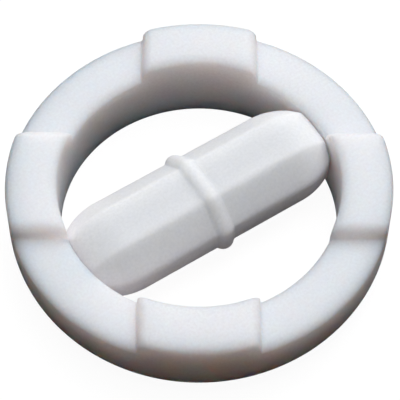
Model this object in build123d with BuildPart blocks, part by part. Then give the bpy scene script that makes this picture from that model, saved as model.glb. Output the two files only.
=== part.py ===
from build123d import *
import math
import os

# A magnetic stir bar in a ring: a notched white PTFE ring that stands flat on its base, and across its bore an
# octagonal PTFE bar with a magnet rod sealed inside. All sizes are in millimetres.
# The origin is the ring's centre on the base plane. +X runs along the bar and +Z up through the ring.

# The ring
ring_diameter = 35.0
ring_wall = 4.65  # between the outer wall and the bore
notch_height = 6.5  # base to the floor of the notches
pad_rise = 1.5  # notch floor to the top of the pads
pad_width = 10.8  # each pad has parallel sides
pad_end_radius = 0.95  # upper edge of each pad's two ends
pad_turn = -33.0  # degrees from the bar to the nearest pad
rim_width = 0.9  # how far the upper rims round in from the outer wall and the bore
rim_drop = 0.5  # how far they fall
foot_inset = 2.0  # how far the outer wall rounds in at the base
foot_rise = 3.3  # base to where that starts
bore_foot_chamfer = 0.3  # lower inner edge

# The bar
bar_width = 9.1
bar_bevel = 2.45  # each leg of the 45 degree facets
nose_length = 4.4  # the part of each end that comes in
nose_drop = 1.7  # how far the top, bottom and side facets come in
bevel_nose_drop = 1.3  # how far the 45 degree facets come in
bar_edge_radius = 0.5
end_clearance = 0.05  # between each rounded end and the bore
bead_width = 1.7  # the pivot bead round the bar's middle
bead_height = 0.45  # with it the bar is as high as the ring
bead_foot_radius = 0.3

# The magnet
jacket_wall = 1.1  # over and under the magnet
jacket_end_wall = 3.0
magnet_clearance = 0.05

# Sizes that follow
ring_radius = ring_diameter / 2
bore_radius = ring_radius - ring_wall
pad_height = notch_height + pad_rise
bar_height = pad_height - 2 * bead_height
bar_half_length = bore_radius - end_clearance
bar_axis_height = bar_height / 2 + bead_height
round_share = 1 - math.sqrt(0.5)  # where a rounding's halfway point lies between its corner's two sides
bevel_half = (bar_width / 2 + bar_height / 2 - bar_bevel) / math.sqrt(2)
nose_start = bore_radius - nose_length
bead_radius = (bead_height**2 + (bead_width / 2) ** 2) / (2 * bead_height)
hollow_radius = bar_height / 2 - jacket_wall
hollow_half_length = bar_half_length - jacket_end_wall
magnet_radius = hollow_radius - magnet_clearance
magnet_half_length = hollow_half_length - magnet_clearance

os.makedirs("parts", exist_ok=True)

# The four pairs of opposite facets: turn about the bar's axis, half the distance across, drop at the nose
facet_pairs = [
    (0, bar_height / 2, nose_drop),
    (45, bevel_half, bevel_nose_drop),
    (90, bar_width / 2, nose_drop),
    (135, bevel_half, bevel_nose_drop),
]


def facet_plane(turn):
    """Plane along the bar's axis, with the pair of facets at this turn above and below the axis."""
    angle = math.radians(turn)
    return Plane(
        origin=(0, 0, bar_axis_height),
        x_dir=(1, 0, 0),
        z_dir=(0, -math.cos(angle), -math.sin(angle)),
    )


def pad_plane(turn):
    """Upright plane through the ring's axis, with its x turned this far from the bar."""
    angle = math.radians(turn)
    return Plane(
        origin=(0, 0, 0),
        x_dir=(math.cos(angle), math.sin(angle), 0),
        z_dir=(math.sin(angle), -math.cos(angle), 0),
    )


def ring_section(top):
    """Corners of the ring's section up to this height. Each rounding is made in two steps."""
    rim_step = (round_share * rim_width, round_share * rim_drop)
    return [
        (bore_radius, bore_foot_chamfer),
        (bore_radius + bore_foot_chamfer, 0),
        (ring_radius - foot_inset, 0),
        (ring_radius - round_share * foot_inset, round_share * foot_rise),
        (ring_radius, foot_rise),
        (ring_radius, top - rim_drop),
        (ring_radius - rim_step[0], top - rim_step[1]),
        (ring_radius - rim_width, top),
        (bore_radius + rim_width, top),
        (bore_radius + rim_step[0], top - rim_step[1]),
        (bore_radius, top - rim_drop),
    ]


# The ring: two crossed strips with rounded ends, cut to the ring's section, are the four pads. The ring itself is
# turned up to the notch floors round them.
with BuildPart() as outer_ring:
    for turn in (pad_turn, pad_turn + 90):
        with BuildSketch(pad_plane(turn)):
            Rectangle(pad_width, pad_height, align=(Align.CENTER, Align.MIN))
            fillet(vertices().group_by(Axis.Y)[-1], pad_end_radius)
        extrude(amount=ring_radius, both=True)
    for top, mode in ((pad_height, Mode.INTERSECT), (notch_height, Mode.ADD)):
        with BuildSketch(pad_plane(pad_turn)):
            with BuildLine():
                Polyline(*ring_section(top), close=True)
            make_face()
        revolve(axis=Axis.Z, mode=mode)
outer_ring.part.label = "outer_ring"
export_step(outer_ring.part, "parts/outer_ring.step")

# The bar's jacket: one outline for each pair of facets, with the bead's arcs at the middle and ends that come in
# along arcs. The four outlines, run through each other, leave the octagonal bar with its mitred bead.
with BuildPart() as bar_jacket:
    for turn, half, drop in facet_pairs:
        with BuildSketch(facet_plane(turn)):
            with BuildLine():
                RadiusArc((0, half + bead_height), (bead_width / 2, half), bead_radius)
                Line((bead_width / 2, half), (nose_start, half))
                TangentArc((nose_start, half), (bore_radius, half - drop), tangent=(1, 0))
                Line((bore_radius, half - drop), (bore_radius, 0))
                mirror(about=Plane.XZ)
                mirror(about=Plane.YZ)
            make_face()
            for side_x in (-1, 1):
                for side_y in (-1, 1):
                    bead_foot = (side_x * bead_width / 2, side_y * half)
                    fillet(vertices().sort_by_distance(bead_foot)[0], bead_foot_radius)
        extrude(amount=bar_width, both=True, mode=Mode.INTERSECT if turn else Mode.ADD)
    fillet(bar_jacket.edges().filter_by(GeomType.LINE).filter_by(Axis.X), bar_edge_radius)
    with BuildSketch():
        Circle(bar_half_length)
    extrude(amount=2 * bar_axis_height, mode=Mode.INTERSECT)
    with BuildSketch(Plane.YZ.offset(-hollow_half_length)):
        with Locations((0, bar_axis_height)):
            Circle(hollow_radius)
    extrude(amount=2 * hollow_half_length, mode=Mode.SUBTRACT)
bar_jacket.part.label = "bar_jacket"
export_step(bar_jacket.part, "parts/bar_jacket.step")

# The magnet: a plain rod on the bar's axis
with BuildPart() as magnet_core:
    with BuildSketch(Plane.YZ.offset(-magnet_half_length)):
        with Locations((0, bar_axis_height)):
            Circle(magnet_radius)
    extrude(amount=2 * magnet_half_length)
magnet_core.part.label = "magnet_core"
export_step(magnet_core.part, "parts/magnet_core.step")
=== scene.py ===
import math

import bmesh
import bpy
import numpy as np
from mathutils import Matrix, Vector


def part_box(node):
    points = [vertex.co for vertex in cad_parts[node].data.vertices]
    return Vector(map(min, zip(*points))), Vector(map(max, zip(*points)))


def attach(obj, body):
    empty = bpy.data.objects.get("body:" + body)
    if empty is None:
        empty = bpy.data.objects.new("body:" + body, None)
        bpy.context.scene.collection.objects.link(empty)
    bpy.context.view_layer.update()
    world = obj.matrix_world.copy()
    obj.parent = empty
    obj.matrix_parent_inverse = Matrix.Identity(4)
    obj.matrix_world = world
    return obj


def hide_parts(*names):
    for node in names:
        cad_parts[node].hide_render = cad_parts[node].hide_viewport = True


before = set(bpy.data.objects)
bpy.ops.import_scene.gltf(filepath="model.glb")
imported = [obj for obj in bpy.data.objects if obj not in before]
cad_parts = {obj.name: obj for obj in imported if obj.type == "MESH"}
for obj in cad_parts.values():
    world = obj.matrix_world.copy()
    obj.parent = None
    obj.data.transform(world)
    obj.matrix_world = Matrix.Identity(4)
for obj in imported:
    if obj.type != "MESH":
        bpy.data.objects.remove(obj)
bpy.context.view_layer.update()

# Sizes are in metres, in the CAD frame: +X along the bar, +Z up, the base on z = 0
MM = 0.001
QUARTER_TURN = math.pi / 2

# The ring's sizes
RING_RADIUS = 17.5 * MM
RING_WALL = 4.65 * MM  # between the outer wall and the bore
BORE_RADIUS = RING_RADIUS - RING_WALL
PAD_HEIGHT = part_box("outer_ring")[1].z
PAD_RISE = 1.5 * MM  # notch floor to the top of the pads
NOTCH_HEIGHT = PAD_HEIGHT - PAD_RISE
PAD_WIDTH = 10.8 * MM
PAD_TURN = math.radians(-33.0)  # from the bar to the nearest pad
PAD_END_RADIUS = 0.95 * MM  # upper edge of each pad's two ends
PAD_END_DRAFT = 0.03 * MM  # how far those ends lean in, which keeps the mesh's columns apart
PAD_FOOT_RADIUS = 0.2 * MM
RIM_WIDTH = 0.95 * MM  # how far the upper rims round in from the outer wall and the bore
RIM_DROP = 0.5 * MM  # how far they fall
FOOT_INSET = 2.0 * MM  # how far the outer wall rounds in at the base
FOOT_RISE = 3.3 * MM  # base to where that starts
BORE_FOOT_RADIUS = 0.3 * MM  # lower inner edge

# The bar's sizes
BAR_HALF_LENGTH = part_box("bar_jacket")[1].x
BAR_AXIS_HEIGHT = (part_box("bar_jacket")[0].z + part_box("bar_jacket")[1].z) / 2
BEAD_HEIGHT = 0.45 * MM  # the pivot bead round the bar's middle
BEAD_RADIUS = 1.028 * MM
BEAD_FOOT_RADIUS = 0.3 * MM
BEAD_END = 1.2 * MM  # past the bead's foot, where the finer rows stop
BAR_HALF_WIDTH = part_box("bar_jacket")[1].y - BEAD_HEIGHT
BAR_HALF_HEIGHT = BAR_AXIS_HEIGHT - BEAD_HEIGHT
BAR_BEVEL = 2.45 * MM  # each leg of the 45 degree facets
BEVEL_HALF = (BAR_HALF_WIDTH + BAR_HALF_HEIGHT - BAR_BEVEL) / math.sqrt(2)
NOSE_LENGTH = 4.4 * MM  # the part of each end that comes in
NOSE_START = BORE_RADIUS - NOSE_LENGTH
NOSE_DROP = 1.7 * MM  # how far the top, bottom and side facets come in
BEVEL_NOSE_DROP = 1.3 * MM  # how far the 45 degree facets come in
EDGE_SHARPNESS = 46  # higher makes the bar's edges crisper
HOLLOW_CLEARANCE = 0.05 * MM  # between the magnet and the sealed hollow round it
HOLLOW_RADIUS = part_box("magnet_core")[1].y + HOLLOW_CLEARANCE
HOLLOW_HALF_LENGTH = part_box("magnet_core")[1].x + HOLLOW_CLEARANCE

# How finely the two skins are divided
PAD_TOP_POINTS = 22
PAD_END_POINTS = 16
PAD_FOOT_POINTS = 8
NOTCH_COLUMNS = 90
BASE_ROWS = 6
FOOT_ROWS = 15
WALL_ROWS = 10
RIM_ROWS = 10
TOP_ROWS = 12
BORE_FOOT_ROWS = 5
BAR_COLUMNS = 320
NOSE_ROWS = 56
BODY_ROWS = 14
BEAD_ROWS = 41
RAY_HALVINGS = 40  # steps that close in on the bar's surface along a ray

# Looks. Spread is how far red, green and blue light travel inside the PTFE, in millimetres
RING_PALE = (0.995, 0.905, 0.92)
RING_SHADE = (0.935, 0.835, 0.85)
RING_SPREAD = (7.8, 5.7, 4.6)
BAR_PALE = (0.837, 0.87, 0.88)
BAR_SHADE = (0.777, 0.81, 0.82)
BAR_SPREAD = (3.4, 3.2, 2.8)
MOTTLE_SIZE = 0.25 * MM
POLISH_SIZE = 1.5 * MM
GRAIN_SIZE = 0.22 * MM
GRAIN_DEPTH = 0.02 * MM
GRAIN_STRENGTH = 0.25
PTFE_ROUGHNESS = (0.5, 0.62)
PTFE_SPECULAR = 0.15
PTFE_IOR = 1.38
MAGNET_DARK = (0.26, 0.25, 0.245)
MAGNET_PALE = (0.40, 0.39, 0.38)
MAGNET_ROUGHNESS = (0.3, 0.5)
MAGNET_LINE_SIZE = 0.6 * MM
MAGNET_LINE_STRETCH = (8, 1, 1)
NOISE_RANGE = (0.3, 0.7)  # where most of a noise texture's values lie

# The floor, the light and the photograph's camera
FLOOR_HALF_SIZE = 2.0
FLOOR_HEIGHT = -0.02 * MM  # just under the base
FLOOR_GLOW = 0.95
FLOOR_LIT = (0.09, 0.09, 0.09)  # takes the shadow
FLOOR_BOUNCE = (0.003, 0.003, 0.003)
FILL_COLOR = (0.85, 0.93, 1.0)
FILL_STRENGTH = 0.006
CAMERA_AZIMUTH = math.radians(-33.0)
CAMERA_ELEVATION = math.radians(58.55)
CAMERA_ROLL = math.radians(0.137)
CAMERA_DISTANCE = 180.5 * MM
CAMERA_TARGET = Vector((-0.663, -1.175, 6.5)) * MM
CAMERA_LENS = 180.0
CAMERA_NEAREST = 1 * MM
SENSOR_WIDTH = 36.0
SOFTBOX_AZIMUTH = CAMERA_AZIMUTH + math.radians(157)
SOFTBOX_ELEVATION = math.radians(67)
SOFTBOX_DISTANCE = 0.6
SOFTBOX_WIDTH = 0.5
SOFTBOX_LENGTH = 1.0
SOFTBOX_POWER = 5.4
SOFTBOX_COLOR = (1.0, 0.99, 1.0)


def new_object(name, points, faces):
    """A smooth-shaded mesh object with its faces turned outward."""
    mesh = bpy.data.meshes.new(name)
    mesh.from_pydata(points, [], faces)
    shell = bmesh.new()
    shell.from_mesh(mesh)
    bmesh.ops.recalc_face_normals(shell, faces=shell.faces)
    shell.to_mesh(mesh)
    shell.free()
    mesh.polygons.foreach_set("use_smooth", [True] * len(mesh.polygons))
    piece = bpy.data.objects.new(name, mesh)
    bpy.context.scene.collection.objects.link(piece)
    return piece


def grid_faces(rows, columns, closed_rows):
    """Quads over a grid of points whose columns close on themselves."""
    faces = []
    for row in range(rows if closed_rows else rows - 1):
        below = row * columns
        above = (row + 1) % rows * columns
        for column in range(columns):
            beside = (column + 1) % columns
            faces.append((below + column, below + beside, above + beside, above + column))
    return faces


# The ring


def pad_profile():
    """Half of a pad seen from outside: distances from its middle, heights over the notch floor."""
    end = PAD_WIDTH / 2
    shoulder = end - PAD_END_DRAFT - PAD_END_RADIUS
    points = [(distance, PAD_RISE) for distance in np.linspace(0, shoulder, PAD_TOP_POINTS)]
    for turn in np.linspace(0, QUARTER_TURN, PAD_END_POINTS)[1:]:
        fall = PAD_END_RADIUS * (1 - math.cos(turn))
        points.append((shoulder + PAD_END_RADIUS * math.sin(turn), PAD_RISE - fall))
    for turn in np.linspace(0, QUARTER_TURN, PAD_FOOT_POINTS):
        rise = PAD_FOOT_RADIUS * (1 - math.sin(turn))
        points.append((end + PAD_FOOT_RADIUS * (1 - math.cos(turn)), rise))
    return points


def ring_columns(radius, profile):
    """Angles of one quarter of a row, from the middle of a pad to the middle of the next."""
    pad = [math.asin(distance / radius) for distance, _ in profile]
    notch = np.linspace(pad[-1], QUARTER_TURN - pad[-1], NOTCH_COLUMNS + 2)[1:-1]
    return np.concatenate([pad, notch, [QUARTER_TURN - angle for angle in pad[:0:-1]]])


def ring_section():
    """Rows of the ring's section, from the bore's foot round to the bore again.

    Each row is a radius, a fixed height, the share of the way from there to the top face, and a
    drop below that face.
    """
    rows = []
    base_start = BORE_RADIUS + BORE_FOOT_RADIUS
    for radius in np.linspace(base_start, RING_RADIUS - FOOT_INSET, BASE_ROWS):
        rows.append((radius, 0, 0, 0))
    for turn in np.linspace(0, QUARTER_TURN, FOOT_ROWS)[1:]:
        radius = RING_RADIUS - FOOT_INSET * (1 - math.sin(turn))
        rows.append((radius, FOOT_RISE * (1 - math.cos(turn)), 0, 0))
    for share in np.linspace(0, 1, WALL_ROWS)[1:]:
        rows.append((RING_RADIUS, FOOT_RISE, share, RIM_DROP))
    for turn in np.linspace(0, QUARTER_TURN, RIM_ROWS)[1:]:
        radius = RING_RADIUS - RIM_WIDTH * (1 - math.cos(turn))
        rows.append((radius, 0, 1, RIM_DROP * (1 - math.sin(turn))))
    for radius in np.linspace(RING_RADIUS - RIM_WIDTH, BORE_RADIUS + RIM_WIDTH, TOP_ROWS)[1:]:
        rows.append((radius, 0, 1, 0))
    for turn in np.linspace(0, QUARTER_TURN, RIM_ROWS)[1:]:
        radius = BORE_RADIUS + RIM_WIDTH * (1 - math.sin(turn))
        rows.append((radius, 0, 1, RIM_DROP * (1 - math.cos(turn))))
    for share in np.linspace(1, 0, WALL_ROWS)[1:]:
        rows.append((BORE_RADIUS, BORE_FOOT_RADIUS, share, RIM_DROP))
    for turn in np.linspace(0, QUARTER_TURN, BORE_FOOT_ROWS)[1:-1]:
        radius = BORE_RADIUS + BORE_FOOT_RADIUS * (1 - math.cos(turn))
        rows.append((radius, BORE_FOOT_RADIUS * (1 - math.sin(turn)), 0, 0))
    return rows


def make_ring():
    """The ring's skin: rows round its axis whose columns follow the ends of the pads."""
    profile = pad_profile()
    rises = [rise for _, rise in profile]
    tops = NOTCH_HEIGHT + np.tile(rises + [0] * NOTCH_COLUMNS + rises[:0:-1], 4)
    section = ring_section()
    points = []
    for radius, fixed, share, drop in section:
        quarter = ring_columns(radius, profile)
        angles = PAD_TURN + np.concatenate([quarter + turn * QUARTER_TURN for turn in range(4)])
        z = (1 - share) * fixed + share * (tops - drop)
        points.extend(zip(radius * np.cos(angles), radius * np.sin(angles), z))
    return new_object("ring_skin", points, grid_faces(len(section), len(tops), True))


# The bar


def bead_rise(x):
    """How far the pivot bead stands proud of a facet: an arc with a small fillet at its foot."""
    reach = abs(x)
    centres = BEAD_RADIUS + BEAD_FOOT_RADIUS
    foot = math.sqrt(centres**2 - (centres - BEAD_HEIGHT) ** 2)
    if reach >= foot:
        return 0.0
    if reach <= foot * BEAD_RADIUS / centres:
        return math.sqrt(BEAD_RADIUS**2 - reach**2) - BEAD_RADIUS + BEAD_HEIGHT
    return BEAD_FOOT_RADIUS - math.sqrt(BEAD_FOOT_RADIUS**2 - (foot - reach) ** 2)


def nose_fall(x, drop):
    """How far a facet has come in at x: an arc that starts level where the nose starts."""
    reach = np.clip(np.abs(x) - NOSE_START, 0, NOSE_LENGTH)
    radius = (NOSE_LENGTH**2 + drop**2) / (2 * drop)
    return radius - np.sqrt(radius**2 - reach**2)


def bar_fill(x, y, z):
    """Under 1 inside the bar and over 1 outside it; z counts from the bar's axis."""
    side = (BAR_HALF_WIDTH, NOSE_DROP)
    bevel = (BEVEL_HALF, BEVEL_NOSE_DROP)
    level = (BAR_HALF_HEIGHT, NOSE_DROP)
    facets = [side, bevel, level, bevel] * 2
    rise = np.vectorize(bead_rise)(x)
    total = (np.hypot(x, y) / BAR_HALF_LENGTH) ** EDGE_SHARPNESS
    for index, (half, drop) in enumerate(facets):
        turn = index * math.pi / 4
        outward = np.maximum(y * math.cos(turn) + z * math.sin(turn), 0)
        total = total + (outward / (half + rise - nose_fall(x, drop))) ** EDGE_SHARPNESS
    return total


def bar_turns():
    """Angles of the bar's columns round its axis."""
    return np.arange(BAR_COLUMNS) * 2 * math.pi / BAR_COLUMNS


def bar_row(start, tilt):
    """Points of the bar's surface on rays that leave its axis at start, tilted to an end."""
    turns = bar_turns()
    near = np.zeros(BAR_COLUMNS)
    far = np.full(BAR_COLUMNS, BAR_HALF_LENGTH)
    for _ in range(RAY_HALVINGS):
        reach = (near + far) / 2
        radial = reach * math.cos(tilt)
        x = start + reach * math.sin(tilt)
        inside = bar_fill(x, radial * np.cos(turns), radial * np.sin(turns)) < 1
        near = np.where(inside, reach, near)
        far = np.where(inside, far, reach)
    radial = near * math.cos(tilt)
    x = start + near * math.sin(tilt)
    return list(zip(x, radial * np.cos(turns), radial * np.sin(turns) + BAR_AXIS_HEIGHT))


def bar_stations():
    """Where the rows start on the axis and how they tilt, from one end to the other."""
    tilts = np.linspace(0, QUARTER_TURN, NOSE_ROWS)[1:-1]
    body = np.linspace(BEAD_END, NOSE_START, BODY_ROWS)
    middle = np.linspace(-BEAD_END, BEAD_END, BEAD_ROWS)
    stations = [(-NOSE_START, -tilt) for tilt in tilts[::-1]]
    stations += [(-start, 0) for start in body[::-1]]
    stations += [(start, 0) for start in middle[1:-1]]
    stations += [(start, 0) for start in body]
    stations += [(NOSE_START, tilt) for tilt in tilts]
    return stations


def add_pole(points, faces, row_start, pole):
    """Closes a row of points with a fan to one point."""
    points.append(pole)
    for column in range(BAR_COLUMNS):
        beside = (column + 1) % BAR_COLUMNS
        faces.append((row_start + column, row_start + beside, len(points) - 1))


def add_hollow(points, faces):
    """Adds the sealed hollow round the magnet."""
    first = len(points)
    for x in (-HOLLOW_HALF_LENGTH, HOLLOW_HALF_LENGTH):
        for turn in bar_turns():
            z = HOLLOW_RADIUS * math.sin(turn) + BAR_AXIS_HEIGHT
            points.append((x, HOLLOW_RADIUS * math.cos(turn), z))
    for face in grid_faces(2, BAR_COLUMNS, False):
        faces.append(tuple(first + corner for corner in face))
    add_pole(points, faces, first, (-HOLLOW_HALF_LENGTH, 0, BAR_AXIS_HEIGHT))
    add_pole(points, faces, first + BAR_COLUMNS, (HOLLOW_HALF_LENGTH, 0, BAR_AXIS_HEIGHT))


def make_bar():
    """The bar's skin, with the hollow's faces turned towards the magnet."""
    points = []
    stations = bar_stations()
    for start, tilt in stations:
        points.extend(bar_row(start, tilt))
    faces = grid_faces(len(stations), BAR_COLUMNS, False)
    last_row = (len(stations) - 1) * BAR_COLUMNS
    add_pole(points, faces, 0, (-BAR_HALF_LENGTH, 0, BAR_AXIS_HEIGHT))
    add_pole(points, faces, last_row, (BAR_HALF_LENGTH, 0, BAR_AXIS_HEIGHT))
    outside = len(faces)
    add_hollow(points, faces)
    bar = new_object("bar_skin", points, faces)
    for face in list(bar.data.polygons)[outside:]:
        face.flip()
    return bar


# Materials


def material(name):
    """A new material with its nodes, links and shader."""
    made = bpy.data.materials.new(name)
    made.use_nodes = True
    nodes = made.node_tree.nodes
    return made, nodes, made.node_tree.links, nodes["Principled BSDF"]


def noise(nodes, links, place, feature, detail):
    """Noise with features about this many metres across."""
    texture = nodes.new("ShaderNodeTexNoise")
    texture.inputs["Scale"].default_value = 1 / feature
    texture.inputs["Detail"].default_value = detail
    links.new(place, texture.inputs["Vector"])
    return texture.outputs["Fac"]


def ranged(nodes, links, value, low, high):
    """Noise, from its usual middle range, spread between low and high."""
    spread = nodes.new("ShaderNodeMapRange")
    spread.inputs["From Min"].default_value = NOISE_RANGE[0]
    spread.inputs["From Max"].default_value = NOISE_RANGE[1]
    spread.inputs["To Min"].default_value = low
    spread.inputs["To Max"].default_value = high
    links.new(value, spread.inputs["Value"])
    return spread.outputs["Result"]


def mixed(nodes, links, factor, first, second):
    """A colour between the first and the second."""
    mix = nodes.new("ShaderNodeMix")
    mix.data_type = "RGBA"
    mix.inputs["A"].default_value = (*first, 1)
    mix.inputs["B"].default_value = (*second, 1)
    links.new(factor, mix.inputs["Factor"])
    return mix.outputs["Result"]


def ptfe(name, pale, shade, spread):
    """Waxy white PTFE: light sinks in and travels this far, in millimetres, before it leaves."""
    made, nodes, links, shader = material(name)
    place = nodes.new("ShaderNodeTexCoord").outputs["Object"]
    mottle = ranged(nodes, links, noise(nodes, links, place, MOTTLE_SIZE, 2), 0, 1)
    links.new(mixed(nodes, links, mottle, pale, shade), shader.inputs["Base Color"])
    polish = noise(nodes, links, place, POLISH_SIZE, 3)
    links.new(ranged(nodes, links, polish, *PTFE_ROUGHNESS), shader.inputs["Roughness"])
    shader.inputs["Specular IOR Level"].default_value = PTFE_SPECULAR
    shader.inputs["IOR"].default_value = PTFE_IOR
    shader.inputs["Subsurface Weight"].default_value = 1.0
    shader.inputs["Subsurface Radius"].default_value = spread
    shader.inputs["Subsurface Scale"].default_value = MM
    bump = nodes.new("ShaderNodeBump")
    bump.inputs["Strength"].default_value = GRAIN_STRENGTH
    bump.inputs["Distance"].default_value = GRAIN_DEPTH
    links.new(noise(nodes, links, place, GRAIN_SIZE, 3), bump.inputs["Height"])
    links.new(bump.outputs["Normal"], shader.inputs["Normal"])
    return made


def magnet_alloy():
    """Ground magnet alloy: dark grey metal with fine lines round the rod."""
    made, nodes, links, shader = material("magnet_alloy")
    place = nodes.new("ShaderNodeTexCoord").outputs["Object"]
    stretch = nodes.new("ShaderNodeMapping")
    stretch.inputs["Scale"].default_value = MAGNET_LINE_STRETCH
    links.new(place, stretch.inputs["Vector"])
    lines = noise(nodes, links, stretch.outputs["Vector"], MAGNET_LINE_SIZE, 2)
    links.new(mixed(nodes, links, lines, MAGNET_DARK, MAGNET_PALE), shader.inputs["Base Color"])
    links.new(ranged(nodes, links, lines, *MAGNET_ROUGHNESS), shader.inputs["Roughness"])
    shader.inputs["Metallic"].default_value = 1.0
    return made


def seen_directly(nodes, links):
    """1 for what the camera sees itself, in a reflection or through something clear."""
    path = nodes.new("ShaderNodeLightPath")
    either = path.outputs["Is Camera Ray"]
    for name in ("Is Glossy Ray", "Is Transmission Ray"):
        larger = nodes.new("ShaderNodeMath")
        larger.operation = "MAXIMUM"
        links.new(either, larger.inputs[0])
        links.new(path.outputs[name], larger.inputs[1])
        either = larger.outputs["Value"]
    return either


def floor_material():
    """White to look at, with a soft shadow, and dark to the light that would bounce up from it."""
    made, nodes, links, shader = material("floor_white")
    nodes.remove(shader)
    glow = nodes.new("ShaderNodeEmission")
    glow.inputs["Strength"].default_value = FLOOR_GLOW
    lit = nodes.new("ShaderNodeBsdfDiffuse")
    lit.inputs["Color"].default_value = (*FLOOR_LIT, 1)
    pale = nodes.new("ShaderNodeAddShader")
    links.new(glow.outputs["Emission"], pale.inputs[0])
    links.new(lit.outputs["BSDF"], pale.inputs[1])
    dark = nodes.new("ShaderNodeBsdfDiffuse")
    dark.inputs["Color"].default_value = (*FLOOR_BOUNCE, 1)
    choice = nodes.new("ShaderNodeMixShader")
    links.new(seen_directly(nodes, links), choice.inputs["Fac"])
    links.new(dark.outputs["BSDF"], choice.inputs[1])
    links.new(pale.outputs["Shader"], choice.inputs[2])
    links.new(choice.outputs["Shader"], nodes["Material Output"].inputs["Surface"])
    return made


# The stage


def make_floor():
    """A wide floor under the base."""
    half = FLOOR_HALF_SIZE
    plan = [(-half, -half), (half, -half), (half, half), (-half, half)]
    floor = new_object("floor", [(x, y, FLOOR_HEIGHT) for x, y in plan], [(0, 1, 2, 3)])
    floor.data.materials.append(floor_material())


def make_world():
    """White to look at, and a faint cool fill to everything else."""
    world = bpy.data.worlds.new("studio")
    world.use_nodes = True
    bpy.context.scene.world = world
    nodes = world.node_tree.nodes
    links = world.node_tree.links
    fill = nodes["Background"]
    fill.inputs["Color"].default_value = (*FILL_COLOR, 1)
    fill.inputs["Strength"].default_value = FILL_STRENGTH
    white = nodes.new("ShaderNodeBackground")
    white.inputs["Color"].default_value = (1, 1, 1, 1)
    choice = nodes.new("ShaderNodeMixShader")
    links.new(seen_directly(nodes, links), choice.inputs["Fac"])
    links.new(fill.outputs["Background"], choice.inputs[1])
    links.new(white.outputs["Background"], choice.inputs[2])
    links.new(choice.outputs["Shader"], nodes["World Output"].inputs["Surface"])


def plan_direction(azimuth, elevation):
    """Unit vector from the object towards a viewer there."""
    level = math.cos(elevation)
    return Vector((math.sin(azimuth) * level, -math.cos(azimuth) * level, math.sin(elevation)))


def make_light():
    """One long softbox overhead, leaning away from the camera and to its right."""
    towards = plan_direction(SOFTBOX_AZIMUTH, SOFTBOX_ELEVATION)
    lamp = bpy.data.lights.new("softbox", "AREA")
    lamp.shape = "ELLIPSE"
    lamp.size = SOFTBOX_WIDTH
    lamp.size_y = SOFTBOX_LENGTH
    lamp.energy = SOFTBOX_POWER
    lamp.color = SOFTBOX_COLOR
    softbox = bpy.data.objects.new("softbox", lamp)
    softbox.location = towards * SOFTBOX_DISTANCE
    softbox.rotation_mode = "QUATERNION"
    softbox.rotation_quaternion = (-towards).to_track_quat("-Z", "Y")
    softbox.visible_camera = False
    bpy.context.scene.collection.objects.link(softbox)


def make_camera():
    """The photograph's camera."""
    lens = bpy.data.cameras.new("camera")
    lens.lens = CAMERA_LENS
    lens.sensor_width = SENSOR_WIDTH
    lens.clip_start = CAMERA_NEAREST
    camera = bpy.data.objects.new("camera", lens)
    back = plan_direction(CAMERA_AZIMUTH, CAMERA_ELEVATION)
    level_turn = (-back).to_track_quat("-Z", "Y").to_matrix()
    turn = level_turn @ Matrix.Rotation(CAMERA_ROLL, 3, "Z")
    place = CAMERA_TARGET + back * CAMERA_DISTANCE
    camera.matrix_world = Matrix.LocRotScale(place, turn, None)
    bpy.context.scene.collection.objects.link(camera)
    bpy.context.scene.camera = camera


def dress(piece, look, node):
    """Gives a piece its material and puts it in place of a CAD node."""
    piece.data.materials.append(look)
    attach(piece, "root")
    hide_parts(node)


ring_look = ptfe("ring_ptfe", RING_PALE, RING_SHADE, RING_SPREAD)
bar_look = ptfe("bar_ptfe", BAR_PALE, BAR_SHADE, BAR_SPREAD)
dress(make_ring(), ring_look, "outer_ring")
dress(make_bar(), bar_look, "bar_jacket")
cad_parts["magnet_core"].material_slots[0].material = magnet_alloy()
make_floor()
make_world()
make_light()
make_camera()
bpy.context.scene.view_settings.view_transform = "Standard"
